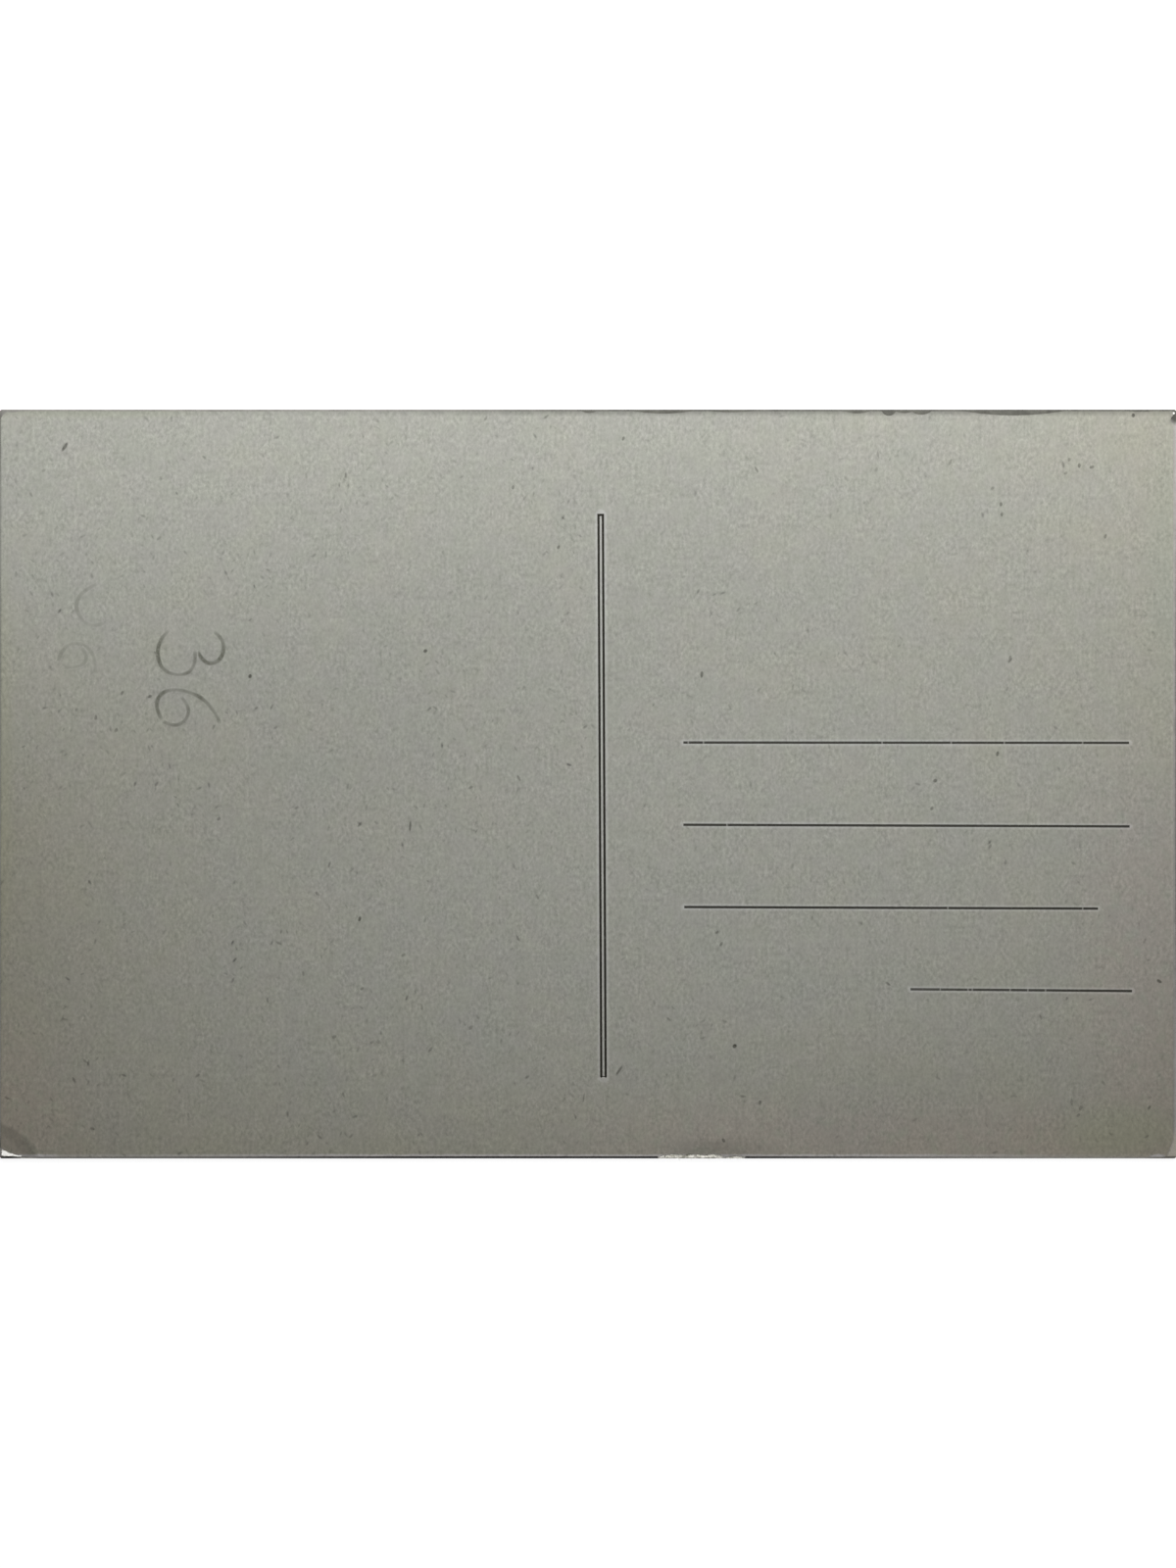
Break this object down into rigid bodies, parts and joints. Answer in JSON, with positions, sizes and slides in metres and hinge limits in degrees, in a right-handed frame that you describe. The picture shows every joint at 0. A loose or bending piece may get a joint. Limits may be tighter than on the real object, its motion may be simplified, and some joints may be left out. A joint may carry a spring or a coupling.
{
  "type": "postcard",
  "caption": "Old divided-back picture postcard: pasted plies of card with a printed divider, address rules, worn corners and a picture on the other side.",
  "frame": {"origin": "under the middle of the card, on the surface that it lies on, picture side down", "axes": "+X along the card to the right of someone reading the address side, +Y up the card, +Z out of the address side"},
  "size_m": [0.1396, 0.0888, 0.0004],
  "materials": {
    "address_paper": "matt, grey and flecked with wood fibre",
    "rule_ink": "matt black printing ink soaked into paper",
    "paste": "dried starch paste",
    "core_pulp": "matt pale pulp board",
    "picture_paper": "smooth, toned with age",
    "picture_ink": "satin sepia print"
  },
  "bodies": {
    "root": {"back_liner": "address_paper", "divider_rule": "rule_ink", "address_rule_1": "rule_ink", "address_rule_2": "rule_ink", "address_rule_3": "rule_ink", "address_rule_4": "rule_ink", "back_paste": "paste", "core_board": "core_pulp", "front_paste": "paste", "front_liner": "picture_paper", "picture_print": "picture_ink"}
  },
  "joints": []
}
